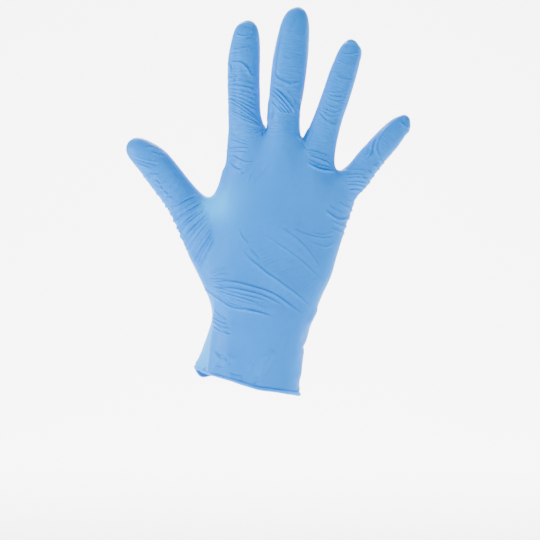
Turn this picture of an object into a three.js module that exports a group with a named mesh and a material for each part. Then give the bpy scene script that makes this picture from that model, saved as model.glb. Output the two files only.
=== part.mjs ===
// Nitrile exam glove for the right hand, in the form it has when worn, fingers spread.
// Millimetres. +Z runs up the hand, -Y is the back of the hand, +X is the little finger's side.
// The origin is the middle of the cuff opening.
import * as THREE from 'three';

const BODY_LENGTH = 158;     // cuff rim to the line of the finger roots
const PALM_WIDTH = 84;       // across the knuckles
const PALM_DEPTH = 30;       // back to palm at the middle of the hand
const INDEX_LENGTH = 79.8;
const MIDDLE_LENGTH = 82.3;
const RING_LENGTH = 76.8;
const LITTLE_LENGTH = 57.8;
const THUMB_LENGTH = 81.9;
const WALL = 1;              // film, thickened to a solid wall
const BEAD_RADIUS = 1.3;     // rolled edge round the cuff
const FOLD_HEIGHT = 1.2;     // tallest crease in the film

const EDGE_SHARE = 0.93;     // half width at which the front and back panels start
const ROUNDNESS = 2.3;       // power of the rings' rounded outline, 2 is an ellipse
const ARCH_SHARE = 0.13;     // how far the knuckle arch turns to the palm, of PALM_DEPTH
const WEB_SHARE = 0.75;      // depth of a web, of its fingers'
const ROOT_SHARE = 1.1;      // depth of a finger's root, of the finger's
const DIGIT_SHARE = 0.83;    // depth of a finger at its root, of its width
const TIP_FALL_SHARE = 0.2;     // how fast a tip falls away to its sides
const WIDEST_SHARE = 1.02;   // width beyond which a section grows no deeper, of the digit's
const TIP_SHARE = 0.72;      // the same at its tip

// Rings from the rim up. along, bow: shares of BODY_LENGTH; across, width: of PALM_WIDTH; depth: of
// PALM_DEPTH; tilt: degrees the ring drops to the right; fold, edge: where the back of the hand and the
// palm start at the left, of half the width; back: how far the left edge lies to the palm side, of half
// the depth; bow: how far the front sags; rise: share of the webs' rise. A ring may have none of the
// last three.
const RINGS = [
  {
    along: 0.006, across: 0.002, width: 0.828, depth: 1.27, tilt: 13.7,
    fold: 0.74, edge: 0.93, back: 0.45, bow: 0.008,
  },
  {
    along: 0.056, across: 0.025, width: 0.788, depth: 1.27, tilt: 13.3,
    fold: 0.78, edge: 0.93, back: 0.40, bow: 0.008,
  },
  {
    along: 0.119, across: 0.053, width: 0.758, depth: 1.28, tilt: 12.1,
    fold: 0.83, edge: 0.93, back: 0.30, bow: 0.007,
  },
  {
    along: 0.181, across: 0.079, width: 0.734, depth: 1.29, tilt: 11.9,
    fold: 0.90, edge: 0.93, back: 0.15, bow: 0.005,
  },
  { along: 0.239, across: 0.110, width: 0.749, depth: 1.30, tilt: 8.7, fold: 0.93, edge: 0.93 },
  { along: 0.301, across: 0.123, width: 0.816, depth: 1.25, tilt: 5.3, fold: 0.90, edge: 0.90 },
  { along: 0.366, across: 0.127, width: 0.912, depth: 1.18, tilt: 2.9, fold: 0.84, edge: 0.84 },
  { along: 0.440, across: 0.162, width: 0.958, depth: 1.10, tilt: 6.8, fold: 0.80, edge: 0.76 },
  { along: 0.520, across: 0.188, width: 0.989, depth: 1.02, tilt: 9.3, fold: 0.78, edge: 0.74 },
  { along: 0.603, across: 0.212, width: 1.027, depth: 0.96, tilt: 11.1, fold: 0.80, edge: 0.76 },
  {
    along: 0.680, across: 0.244, width: 1.052, depth: 0.90, tilt: 12.8,
    fold: 0.84, edge: 0.84, rise: 0.08,
  },
  {
    along: 0.752, across: 0.300, width: 1.036, depth: 0.84, tilt: 13.6,
    fold: 0.90, edge: 0.90, rise: 0.35,
  },
  {
    along: 0.784, across: 0.318, width: 1.036, depth: 0.80, tilt: 14.4,
    fold: 0.93, edge: 0.93, rise: 0.68,
  },
  {
    along: 0.816, across: 0.342, width: 1.045, depth: 0.76, tilt: 15.1,
    fold: 0.93, edge: 0.93, rise: 1,
  },
];

// Ends of the knuckle line and the three webs on it: place along the line; rise of the saddle above it
// and drop of the web's front and back below the saddle, of BODY_LENGTH.
const WEBS = [
  { at: 0.000, rise: 0.000, drop: 0 },
  { at: 0.211, rise: 0.166, drop: 0.026 },
  { at: 0.496, rise: 0.158, drop: 0.022 },
  { at: 0.792, rise: 0.075, drop: 0.008 },
  { at: 1.000, rise: 0.000, drop: 0 },
];

// Fingers from the index side. width: share of PALM_WIDTH; lean: degrees to the right; bend: how far
// the tip turns to the palm, of the length. Sections: at along the length, side shift and width of the
// finger's width.
const FINGERS = [
  {
    name: 'index', length: INDEX_LENGTH, width: 0.242, lean: 1.2, bend: 0.05,
    sections: [
      { at: 0.219, side: -0.040, width: 1.016 },
      { at: 0.386, side: -0.070, width: 1.000 },
      { at: 0.584, side: -0.103, width: 1.000 },
      { at: 0.759, side: -0.086, width: 0.969 },
      { at: 0.879, side: -0.065, width: 0.844 },
      { at: 0.955, side: -0.040, width: 0.609 },
    ],
  },
  {
    name: 'middle', length: MIDDLE_LENGTH, width: 0.273, lean: 6.6, bend: 0.06,
    sections: [
      { at: 0.138, side: -0.063, width: 0.917 },
      { at: 0.286, side: -0.068, width: 0.944 },
      { at: 0.488, side: -0.068, width: 1.000 },
      { at: 0.698, side: -0.057, width: 0.944 },
      { at: 0.862, side: -0.041, width: 0.792 },
      { at: 0.952, side: -0.028, width: 0.556 },
    ],
  },
  {
    name: 'ring', length: RING_LENGTH, width: 0.212, lean: 16.5, bend: 0.06,
    sections: [
      { at: 0.261, side: -0.006, width: 1.057 },
      { at: 0.419, side: 0.034, width: 1.018 },
      { at: 0.619, side: 0.058, width: 1.000 },
      { at: 0.780, side: 0.076, width: 0.946 },
      { at: 0.888, side: 0.087, width: 0.839 },
      { at: 0.953, side: 0.086, width: 0.607 },
    ],
  },
  {
    name: 'little', length: LITTLE_LENGTH, width: 0.189, lean: 41.9, bend: 0.05,
    sections: [
      { at: 0.133, side: 0.170, width: 1.176 },
      { at: 0.305, side: 0.119, width: 1.092 },
      { at: 0.508, side: 0.102, width: 1.050 },
      { at: 0.687, side: 0.109, width: 1.029 },
      { at: 0.846, side: 0.098, width: 0.840 },
      { at: 0.936, side: 0.090, width: 0.567 },
    ],
  },
];

// The thumb leaves the left side between its two rings. set: how far it lies to the palm
// side, of its width; turn: degrees a section stands up from square to its axis.
const THUMB = {
  name: 'thumb', length: THUMB_LENGTH, width: 0.262, lean: -36.9, bend: 0.06, set: 0.12, rings: [6, 10],
  sections: [
    { at: 0.154, side: 0.040, width: 1.830, turn: 38.5 },
    { at: 0.310, side: 0.130, width: 1.215, turn: 21.7 },
    { at: 0.470, side: 0.160, width: 1.000, turn: 3 },
    { at: 0.647, side: 0.149, width: 1.000, turn: 0 },
    { at: 0.776, side: 0.132, width: 0.951, turn: 0 },
    { at: 0.886, side: 0.043, width: 0.807, turn: 0 },
    { at: 0.954, side: -0.002, width: 0.576, turn: 0 },
  ],
};

// Soft pads under the film. across: place over the width; along: of BODY_LENGTH; wide, tall: reach of
// the same; height: of PALM_DEPTH, less than nothing is a hollow; side: 1 the palm, -1 the back of the
// hand.
const PADS = [
  { name: 'ball of thumb', across: -0.20, along: 0.50, wide: 0.30, tall: 0.15, height: 0.19, side: 1 },
  { name: 'little side', across: 0.42, along: 0.46, wide: 0.20, tall: 0.18, height: 0.10, side: 1 },
  { name: 'palm hollow', across: 0.24, along: 0.60, wide: 0.16, tall: 0.12, height: -0.12, side: 1 },
  { name: 'index knuckle', across: -0.06, along: 0.87, wide: 0.13, tall: 0.05, height: 0.05, side: -1 },
  { name: 'middle knuckle', across: 0.26, along: 0.90, wide: 0.13, tall: 0.05, height: 0.06, side: -1 },
  { name: 'ring knuckle', across: 0.56, along: 0.82, wide: 0.13, tall: 0.05, height: 0.05, side: -1 },
];

// Creases on the back of the hand, each a bent line: x of PALM_WIDTH, z of BODY_LENGTH; high: of
// FOLD_HEIGHT; reach: half breadth of the crease, of PALM_WIDTH.
const CREASES = [
  { from: [-0.04, 0.520], bend: [0.22, 0.410], to: [0.48, 0.310], high: 1.0, reach: 0.065 },
  { from: [0.20, 0.630], bend: [0.42, 0.560], to: [0.58, 0.440], high: 0.6, reach: 0.060 },
  { from: [-0.30, 0.372], bend: [0.02, 0.345], to: [0.40, 0.235], high: 0.8, reach: 0.055 },
  { from: [-0.24, 0.250], bend: [-0.16, 0.215], to: [-0.04, 0.195], high: 0.7, reach: 0.050 },
  { from: [0.21, 0.130], bend: [0.15, 0.080], to: [0.08, 0.030], high: 0.8, reach: 0.060 },
  { from: [-0.24, 0.120], bend: [-0.12, 0.085], to: [0.00, 0.080], high: 0.6, reach: 0.050 },
  { from: [-0.50, 0.620], bend: [-0.44, 0.660], to: [-0.35, 0.705], high: 0.7, reach: 0.045 },
];

const PANEL_COLUMNS = 12;    // three to each finger
const FINGER_COLUMNS = 3;
const WRIST_ROW = 4;         // ring from which the column lines draw to the webs
const [THUMB_LOW, THUMB_HIGH] = THUMB.rings;
const THUMB_COLUMNS = THUMB_HIGH - THUMB_LOW;
const FIT_ROUNDS = 3;        // rounds that draw the smooth skin through the tables' points
const BEAD_STEPS = 5;        // facets round the rolled edge
const BEAD_DROP_SHARE = 0.8;    // how far the rolled edge hangs below the film, of its radius
const BEAD_TURN = [-27, 207];   // degrees round the rolled edge where it leaves and meets the film
const FINGER_REACH_SHARE = 0.8; // half width of a section that its outermost columns reach
const THUMB_REACH_SHARE = 0.86;
const CREASE_STEPS = 8;      // points along a crease from which distances are taken
const CREASE_ENDS = [0.12, 0.88]; // part of a half wave that a crease's height follows
const CREASE_FACING = [0.1, 0.6]; // how squarely the film must face back to take a crease, none to all

const mix = THREE.MathUtils.lerp;
const radians = THREE.MathUtils.degToRad;

// How deep a rounded ring is at a share of its half width.
function roundAt(share) {
  return Math.pow(Math.max(0, 1 - Math.pow(Math.abs(share), ROUNDNESS)), 1 / ROUNDNESS);
}

// Rise of the webs at a place on the knuckle line, straight from one web to the next.
function webRise(at) {
  const next = Math.max(1, WEBS.findIndex((web) => web.at >= at));
  const low = WEBS[next - 1];
  const high = WEBS[next];
  return mix(low.rise, high.rise, (at - low.at) / (high.at - low.at));
}

// How far up the hand a height lies, from none at the wrist to all at the knuckles.
function towardsKnuckles(along) {
  return THREE.MathUtils.smoothstep(along, RINGS[WRIST_ROW].along, RINGS[RINGS.length - 1].along);
}

// Place of a panel's column line on a ring: even at the wrist, drawn to the webs at the knuckles.
function columnPlace(column, along) {
  const finger = Math.min(WEBS.length - 2, Math.floor(column / FINGER_COLUMNS));
  const atRoots = mix(WEBS[finger].at, WEBS[finger + 1].at, column / FINGER_COLUMNS - finger);
  return mix(column / PANEL_COLUMNS, atRoots, towardsKnuckles(along));
}

// Half depth of the finger roots at a column line, less at the webs between them.
function rootDepth(column) {
  const after = Math.min(FINGERS.length - 1, Math.floor(column / FINGER_COLUMNS));
  const before = Math.max(0, Math.ceil(column / FINGER_COLUMNS) - 1);
  const width = (FINGERS[before].width + FINGERS[after].width) / 2 * PALM_WIDTH;
  return width * DIGIT_SHARE / 2 * (before === after ? ROOT_SHARE : WEB_SHARE);
}

// A point on a ring. share runs from -1 at the left edge to 1 at the right; side is -1 for the back of
// the hand, 1 for the palm and 0 for the edge between them.
function ringPoint(ring, share, side) {
  const half = ring.width * PALM_WIDTH / 2;
  const tilt = radians(ring.tilt);
  const place = (share + 1) / 2;
  const lift = (ring.rise ?? 0) * webRise(THREE.MathUtils.clamp(place, 0, 1)) * BODY_LENGTH;
  const bow = side < 0 ? (ring.bow ?? 0) * BODY_LENGTH * (1 - share * share) : 0;
  const point = new THREE.Vector3(
    ring.across * PALM_WIDTH + share * half * Math.cos(tilt) + lift * Math.sin(tilt),
    side * ring.depth * PALM_DEPTH / 2 * roundAt(share),
    ring.along * BODY_LENGTH - share * half * Math.sin(tilt) + lift * Math.cos(tilt) - bow,
  );
  point.y += ARCH_SHARE * PALM_DEPTH * share * share * towardsKnuckles(ring.along);
  if (share < 0) {
    point.y += (ring.back ?? 0) * ring.depth * PALM_DEPTH / 2 * Math.pow(share, 4);
  }
  return point;
}

// Moves a point of the hand out over the pads, or in over the hollow.
function overPads(point, side) {
  for (const pad of PADS) {
    const x = (point.x / PALM_WIDTH - pad.across) / pad.wide;
    const z = (point.z / BODY_LENGTH - pad.along) / pad.tall;
    if (pad.side === side) {
      point.y += side * pad.height * PALM_DEPTH * Math.exp(-x * x - z * z);
    }
  }
  return point;
}

// The cage: a coarse net of four-sided cells that the smooth skin follows.
const cage = { points: [], cells: [] };

function addPoint(point) {
  return cage.points.push(point) - 1;
}

// A net ring holds its corners in order: front row left to right, right edge, back row right to left,
// left edge. Neighbouring rings are joined cell by cell.
function joinRings(lower, upper) {
  lower.forEach((corner, i) => {
    const next = (i + 1) % lower.length;
    cage.cells.push([corner, lower[next], upper[next], upper[i]]);
  });
}

// Cuff, wrist and hand up to the finger roots.
const net = RINGS.map((ring, row) => {
  const top = row === RINGS.length - 1;
  const front = [];
  const back = [];
  for (let column = 0; column <= PANEL_COLUMNS; column += 1) {
    const place = columnPlace(column, ring.along);
    const share = mix(-ring.fold, EDGE_SHARE, place);
    const palmShare = mix(-ring.edge, EDGE_SHARE, place);
    const web = column % FINGER_COLUMNS === 0 && column > 0 && column < PANEL_COLUMNS;
    const frontPoint = overPads(ringPoint(ring, share, -1), -1);
    const backPoint = overPads(ringPoint(ring, palmShare, 1), 1);
    const depth = rootDepth(column) * (column === 0 || column === PANEL_COLUMNS ? roundAt(share) : 1);
    const middle = ARCH_SHARE * PALM_DEPTH * share * share;
    const atRoot = (ring.rise ?? 0) ** 2;
    frontPoint.y = mix(frontPoint.y, middle - depth, atRoot);
    backPoint.y = mix(backPoint.y, middle + depth, atRoot);
    if (top && web) {
      const { drop } = WEBS[column / FINGER_COLUMNS];
      frontPoint.z -= drop * BODY_LENGTH;
      backPoint.z -= drop * BODY_LENGTH;
    }
    front.push(addPoint(frontPoint));
    back.push(addPoint(backPoint));
  }
  const right = addPoint(ringPoint(ring, 1, 0));
  const inThumb = row > THUMB_LOW && row < THUMB_HIGH;
  const left = inThumb ? null : addPoint(ringPoint(ring, -1, 0));
  return { front, back, left, right, loop: [...front, right, ...back.slice().reverse(), left] };
});

for (let row = 1; row < net.length; row += 1) {
  const lower = net[row - 1].loop;
  const upper = net[row].loop;
  const open = row > THUMB_LOW && row <= THUMB_HIGH;
  lower.forEach((corner, i) => {
    const next = (i + 1) % lower.length;
    const inLeftStrip = next === lower.length - 1 || i === lower.length - 1;
    if (!(open && inLeftStrip)) {
      cage.cells.push([corner, lower[next], upper[next], upper[i]]);
    }
  });
}

// Shares of the half width where a digit's section has its corners.
function sectionShares(columns) {
  const reach = columns === THUMB_COLUMNS ? THUMB_REACH_SHARE : FINGER_REACH_SHARE;
  return Array.from({ length: columns + 1 }, (_, i) => mix(-reach, reach, i / columns));
}

// Grows a digit from its root loop: a net ring per section and a cap of cells at the tip.
function growDigit(digit, rootLoop, columns) {
  const root = new THREE.Vector3();
  rootLoop.forEach((corner) => root.addScaledVector(cage.points[corner], 1 / rootLoop.length));
  const leftEnd = cage.points[rootLoop[rootLoop.length - 1]];
  const base = cage.points[rootLoop[columns + 1]].clone().lerp(leftEnd, 0.5);
  base.y = root.y + (digit.set ?? 0) * digit.width * PALM_WIDTH;
  const lean = radians(digit.lean);
  const axis = new THREE.Vector3(Math.sin(lean), 0, Math.cos(lean));
  const width = digit.width * PALM_WIDTH;
  const shares = sectionShares(columns);
  const centreAt = (at, side) => {
    const centre = base.clone().addScaledVector(axis, at * digit.length);
    centre.x += side * width * Math.cos(lean);
    centre.z -= side * width * Math.sin(lean);
    centre.y += digit.bend * digit.length * at * at;
    return centre;
  };
  let lower = rootLoop;
  for (const section of digit.sections) {
    const turn = lean - radians(section.turn ?? 0);
    const across = new THREE.Vector3(Math.cos(turn), 0, -Math.sin(turn));
    const half = section.width * width / 2;
    const thickness = mix(DIGIT_SHARE, TIP_SHARE, section.at);
    const depth = Math.min(section.width, WIDEST_SHARE) * width / 2 * thickness;
    const centre = centreAt(section.at, section.side);
    const corner = (share, side) => {
      const point = centre.clone().addScaledVector(across, share * half);
      point.y += side * depth * roundAt(share);
      return addPoint(overPads(point, side));
    };
    const upper = [
      ...shares.map((share) => corner(share, -1)),
      corner(1, 0),
      ...shares.slice().reverse().map((share) => corner(share, 1)),
      corner(-1, 0),
    ];
    joinRings(lower, upper);
    lower = upper;
  }
  const tip = centreAt(1, 0);
  const across = new THREE.Vector3(Math.cos(lean), 0, -Math.sin(lean));
  const half = digit.sections[digit.sections.length - 1].width * width / 2;
  const ridge = shares.slice(1, -1).map((share) => {
    const point = tip.clone().addScaledVector(across, share * half);
    return addPoint(point.addScaledVector(axis, -share * share * half * TIP_FALL_SHARE));
  });
  const middle = [lower[lower.length - 1], ...ridge, lower[columns + 1]];
  const back = lower.slice(columns + 2, -1).reverse();
  for (let i = 0; i < columns; i += 1) {
    cage.cells.push([lower[i], lower[i + 1], middle[i + 1], middle[i]]);
    cage.cells.push([middle[i], middle[i + 1], back[i + 1], back[i]]);
  }
}

// Saddle of each web, between its front and back corners, and the two outer edges of the knuckle line.
const roots = net[net.length - 1];
const lastRing = RINGS[RINGS.length - 1];
const saddles = WEBS.map((web, i) => {
  if (i === 0) {
    return roots.left;
  }
  if (i === WEBS.length - 1) {
    return roots.right;
  }
  const column = i * FINGER_COLUMNS;
  const saddle = cage.points[roots.front[column]].clone().add(cage.points[roots.back[column]]);
  saddle.multiplyScalar(0.5);
  saddle.z += web.drop * BODY_LENGTH;
  return addPoint(saddle);
});

FINGERS.forEach((finger, i) => {
  const first = i * FINGER_COLUMNS;
  const last = first + FINGER_COLUMNS + 1;
  const loop = [
    ...roots.front.slice(first, last),
    saddles[i + 1],
    ...roots.back.slice(first, last).reverse(),
    saddles[i],
  ];
  growDigit(finger, loop, FINGER_COLUMNS);
});

const thumbRows = net.slice(THUMB_LOW, THUMB_HIGH + 1);
const thumbLoop = [
  ...thumbRows.map((ring) => ring.front[0]),
  thumbRows[THUMB_COLUMNS].left,
  ...thumbRows.map((ring) => ring.back[0]).reverse(),
  thumbRows[0].left,
];
growDigit(THUMB, thumbLoop, THUMB_COLUMNS);

// Neighbours of every corner of a net: cells, edges and the open edge of the rim.
function neighbours(mesh) {
  const edges = new Map();
  const around = mesh.points.map(() => ({ cells: [], edges: [], rim: [] }));
  mesh.cells.forEach((cell, c) => {
    cell.forEach((a, i) => {
      const b = cell[(i + 1) % cell.length];
      const key = a < b ? `${a},${b}` : `${b},${a}`;
      if (!edges.has(key)) {
        edges.set(key, { a, b, cells: [] });
      }
      edges.get(key).cells.push(c);
      around[a].cells.push(c);
    });
  });
  for (const edge of edges.values()) {
    around[edge.a].edges.push(edge.b);
    around[edge.b].edges.push(edge.a);
    if (edge.cells.length === 1) {
      around[edge.a].rim.push(edge.b);
      around[edge.b].rim.push(edge.a);
    }
  }
  return { edges, around };
}

function average(points) {
  const sum = new THREE.Vector3();
  points.forEach((point) => sum.add(point));
  return sum.divideScalar(points.length);
}

// Where the corners of a net come to lie on the endlessly smoothed skin.
function smoothPlaces(mesh) {
  const { around } = neighbours(mesh);
  const centres = mesh.cells.map((cell) => average(cell.map((corner) => mesh.points[corner])));
  return mesh.points.map((point, i) => {
    const { cells, edges, rim } = around[i];
    if (rim.length > 0) {
      const ends = rim.map((corner) => mesh.points[corner]);
      return point.clone().multiplyScalar(4).add(ends[0]).add(ends[1]).divideScalar(6);
    }
    const n = cells.length;
    const place = point.clone().multiplyScalar(n * n - n);
    edges.forEach((corner) => place.addScaledVector(mesh.points[corner], 2));
    cells.forEach((c) => place.addScaledVector(centres[c], 4));
    return place.divideScalar(n * n + 5 * n);
  });
}

// Splits every cell in four and rounds the net off on the way.
function splitCells(mesh) {
  const { edges, around } = neighbours(mesh);
  const centres = mesh.cells.map((cell) => average(cell.map((corner) => mesh.points[corner])));
  const points = mesh.points.map((point, i) => {
    const { cells, edges: ends, rim } = around[i];
    if (rim.length > 0) {
      const sum = mesh.points[rim[0]].clone().add(mesh.points[rim[1]]);
      return sum.addScaledVector(point, 6).divideScalar(8);
    }
    const n = cells.length;
    const cellMean = average(cells.map((c) => centres[c]));
    const edgeMean = average(ends.map((corner) => mesh.points[corner].clone().lerp(point, 0.5)));
    return cellMean.addScaledVector(edgeMean, 2).addScaledVector(point, n - 3).divideScalar(n);
  });
  const centreStart = points.length;
  points.push(...centres);
  for (const edge of edges.values()) {
    const parts = [mesh.points[edge.a], mesh.points[edge.b]];
    if (edge.cells.length === 2) {
      parts.push(...edge.cells.map((c) => centres[c]));
    }
    edge.index = points.push(average(parts)) - 1;
  }
  const edgeIndex = (a, b) => edges.get(a < b ? `${a},${b}` : `${b},${a}`).index;
  const cells = mesh.cells.flatMap((cell, c) => cell.map((corner, i) => {
    const before = cell[(i + cell.length - 1) % cell.length];
    const after = cell[(i + 1) % cell.length];
    return [corner, edgeIndex(corner, after), centreStart + c, edgeIndex(before, corner)];
  }));
  return { points, cells };
}

// Outward direction at every corner.
function outwards(mesh) {
  const normals = mesh.points.map(() => new THREE.Vector3());
  mesh.cells.forEach((cell) => {
    const [a, b, c, d] = cell.map((corner) => mesh.points[corner]);
    const normal = c.clone().sub(a).cross(d.clone().sub(b));
    cell.forEach((corner) => normals[corner].add(normal));
  });
  return normals.map((normal) => normal.normalize());
}

// Height of the creases at a point on the back of the hand.
function creaseHeight(point) {
  let height = 0;
  for (const crease of CREASES) {
    let nearest = Infinity;
    let taper = 0;
    for (let i = 0; i <= CREASE_STEPS; i += 1) {
      const t = i / CREASE_STEPS;
      const [x, z] = crease.bend.map((bend, k) => {
        const before = mix(crease.from[k], bend, t);
        return mix(before, mix(bend, crease.to[k], t), t);
      });
      const gap = Math.hypot(point.x - x * PALM_WIDTH, point.z - z * BODY_LENGTH);
      if (gap < nearest) {
        nearest = gap;
        taper = Math.sin(Math.PI * mix(...CREASE_ENDS, t));
      }
    }
    const across = nearest / (crease.reach * PALM_WIDTH);
    height += crease.high * FOLD_HEIGHT * taper * Math.exp(-across * across);
  }
  return height;
}

// The skin: the cage fitted so that the smooth form runs through the tables' points, split once, then
// creased on the back of the hand.
const targets = cage.points.map((point) => point.clone());
for (let round = 0; round < FIT_ROUNDS; round += 1) {
  smoothPlaces(cage).forEach((place, i) => cage.points[i].add(targets[i]).sub(place));
}
const skin = splitCells(cage);
skin.points = smoothPlaces(skin);
const normals = outwards(skin);
skin.points.forEach((point, i) => {
  const facing = THREE.MathUtils.smoothstep(-normals[i].y, ...CREASE_FACING);
  point.addScaledVector(normals[i], creaseHeight(point) * facing);
});

// The open edge of the skin, in order round the cuff.
function rimLoop(mesh) {
  const { around } = neighbours(mesh);
  const start = around.findIndex((corner) => corner.rim.length > 0);
  const loop = [start];
  let next = around[start].rim[0];
  while (next !== start) {
    const [a, b] = around[next].rim;
    const before = loop[loop.length - 1];
    loop.push(next);
    next = a === before ? b : a;
  }
  return loop;
}

// Film: outer skin, inner skin one wall further in, and the rolled edge that joins them at the cuff.
function film() {
  const out = outwards(skin);
  const count = skin.points.length;
  const inner = skin.points.map((point, i) => point.clone().addScaledVector(out[i], -WALL));
  const innerCells = skin.cells.map((cell) => cell.map((corner) => corner + count).reverse());
  const points = [...skin.points, ...inner];
  const cells = [...skin.cells, ...innerCells];
  const rim = rimLoop(skin);
  const size = rim.length;
  const beadRings = [];
  for (let step = 1; step < BEAD_STEPS; step += 1) {
    beadRings.push(rim.map((corner, i) => {
      const before = skin.points[rim[(i + size - 1) % size]];
      const after = skin.points[rim[(i + 1) % size]];
      const round = after.clone().sub(before).normalize();
      const normal = out[corner];
      const down = normal.clone().cross(round).normalize();
      down.multiplyScalar(-Math.sign(down.z));
      const angle = radians(mix(...BEAD_TURN, step / BEAD_STEPS));
      const centre = skin.points[corner].clone().addScaledVector(normal, -WALL / 2);
      centre.addScaledVector(down, BEAD_RADIUS * BEAD_DROP_SHARE);
      centre.addScaledVector(normal, Math.cos(angle) * BEAD_RADIUS);
      centre.addScaledVector(down, Math.sin(angle) * BEAD_RADIUS);
      return points.push(centre) - 1;
    }));
  }
  const rows = [rim, ...beadRings, rim.map((corner) => corner + count)];
  const turned = skin.cells.some((cell) => cell[(cell.indexOf(rim[0]) + 1) % cell.length] === rim[1]
    && cell.includes(rim[0]));
  for (let row = 1; row < rows.length; row += 1) {
    for (let i = 0; i < size; i += 1) {
      const next = (i + 1) % size;
      const cell = [rows[row - 1][i], rows[row - 1][next], rows[row][next], rows[row][i]];
      cells.push(turned ? cell.reverse() : cell);
    }
  }
  return { points, cells };
}

function toGeometry(mesh) {
  const positions = mesh.points.flatMap((point) => point.toArray());
  const index = mesh.cells.flatMap(([a, b, c, d]) => {
    const [pa, pb, pc, pd] = [a, b, c, d].map((corner) => mesh.points[corner]);
    return pa.distanceTo(pc) <= pb.distanceTo(pd) ? [a, b, c, a, c, d] : [a, b, d, b, c, d];
  });
  const geometry = new THREE.BufferGeometry();
  geometry.setAttribute('position', new THREE.Float32BufferAttribute(positions, 3));
  geometry.setIndex(index);
  geometry.computeVertexNormals();
  return geometry;
}

const nitrile = new THREE.MeshStandardMaterial({ color: 0x5fa8de, roughness: 0.5, metalness: 0 });
const glove = new THREE.Mesh(toGeometry(film()), nitrile);
glove.name = 'glove';

const part = new THREE.Group();
part.name = 'nitrile_exam_glove';
part.add(glove);

export default part;
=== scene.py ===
import math
import random
import bpy
import bmesh
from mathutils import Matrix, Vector, kdtree, noise


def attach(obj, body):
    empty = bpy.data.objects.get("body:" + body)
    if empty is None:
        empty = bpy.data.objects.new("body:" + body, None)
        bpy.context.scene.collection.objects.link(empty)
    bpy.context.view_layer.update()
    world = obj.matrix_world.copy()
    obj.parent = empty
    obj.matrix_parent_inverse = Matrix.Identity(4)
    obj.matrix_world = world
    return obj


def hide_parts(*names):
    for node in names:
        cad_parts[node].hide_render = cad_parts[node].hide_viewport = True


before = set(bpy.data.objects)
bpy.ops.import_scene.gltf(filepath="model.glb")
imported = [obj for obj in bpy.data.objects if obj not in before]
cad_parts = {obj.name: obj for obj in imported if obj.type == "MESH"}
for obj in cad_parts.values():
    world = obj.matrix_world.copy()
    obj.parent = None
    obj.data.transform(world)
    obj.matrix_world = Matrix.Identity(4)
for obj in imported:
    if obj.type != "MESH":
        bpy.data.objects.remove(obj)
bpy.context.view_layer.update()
print("stage: frame loaded")

# the photo's frame
# A point of the picture, in its 540 x 540 pixels, on the glove's middle plane, in metres.
view = {
    "metresPerPixel": 0.000635, "originX": 246.5, "originY": 381.0, "pixels": 540,
    "distance": 2.0, "sensor": 36.0,
}


def fromPicture(x, y):
    return (x - view["originX"]) * view["metresPerPixel"], (view["originY"] - y) * view["metresPerPixel"]


def linearColour(hexText):
    parts = [int(hexText[i:i + 2], 16) / 255 for i in (1, 3, 5)]
    return tuple(p / 12.92 if p <= 0.04045 else ((p + 0.055) / 1.055) ** 2.4 for p in parts) + (1.0,)


def addNode(tree, kind, settings=None, links=None):
    node = tree.nodes.new(kind)
    for name, value in (settings or {}).items():
        if isinstance(name, int) or name in node.inputs:
            node.inputs[name].default_value = value
        else:
            setattr(node, name, value)
    for socket, source in (links or {}).items():
        tree.links.new(source, node.inputs[socket])
    return node


def selectOnly(obj):
    bpy.ops.object.select_all(action="DESELECT")
    obj.select_set(True)
    bpy.context.view_layer.objects.active = obj


def applyModifier(obj, kind, **settings):
    selectOnly(obj)
    modifier = obj.modifiers.new(kind.lower(), kind)
    for name, value in settings.items():
        setattr(modifier, name, value)
    bpy.ops.object.modifier_apply(modifier=modifier.name)


# film: outer skin of the solid, split finely
film = {
    "wristAxis": (-0.237, 0.0, -0.9715),   # out of the cuff
    "cutAbove": 0.0035,                    # metres over the rim where the solid's thick edge is cut off
    "fineLevels": 3,
    "coarseLevels": 1,
    "rimHang": 0.0030,                     # film below the cut, down to the rolled edge
    "thickness": 0.0008,                   # outer to inner skin, away from the edge
    "edgeThickness": 0.0003,
    "thinBelow": 0.012,                    # over the rim, where the film starts to thin
    "triangles": 165000,                   # of the outer skin, thinned where it is plain
}


def outerSkin(name):
    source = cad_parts["glove"]
    piece = bpy.data.objects.new(name, source.data.copy())
    bpy.context.collection.objects.link(piece)
    selectOnly(piece)
    bpy.ops.object.mode_set(mode="EDIT")
    bpy.ops.mesh.select_all(action="SELECT")
    bpy.ops.mesh.remove_doubles(threshold=0.00001)
    bpy.ops.mesh.select_all(action="SELECT")
    axis = Vector(film["wristAxis"])
    bpy.ops.mesh.bisect(plane_co=tuple(-axis * film["cutAbove"]), plane_no=tuple(axis), clear_outer=True)
    bpy.ops.mesh.select_all(action="SELECT")
    bpy.ops.mesh.tris_convert_to_quads(face_threshold=math.pi, shape_threshold=math.pi)
    bpy.ops.mesh.separate(type="LOOSE")
    bpy.ops.object.mode_set(mode="OBJECT")
    shells = list(bpy.context.selected_objects)
    shells.sort(key=lambda shell: sum(shell.dimensions))
    outer = shells[-1]
    for shell in shells[:-1]:
        bpy.data.objects.remove(shell)
    outer.name = name
    outer.data.materials.clear()
    return outer


fineSkin = outerSkin("nitrileGlove")
coarseSkin = fineSkin.copy()
coarseSkin.data = fineSkin.data.copy()
bpy.context.collection.objects.link(coarseSkin)
applyModifier(fineSkin, "SUBSURF", levels=film["fineLevels"], render_levels=film["fineLevels"])
applyModifier(coarseSkin, "SUBSURF", levels=film["coarseLevels"], render_levels=film["coarseLevels"])
print("stage: skin split,", len(fineSkin.data.polygons), "faces")

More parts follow.
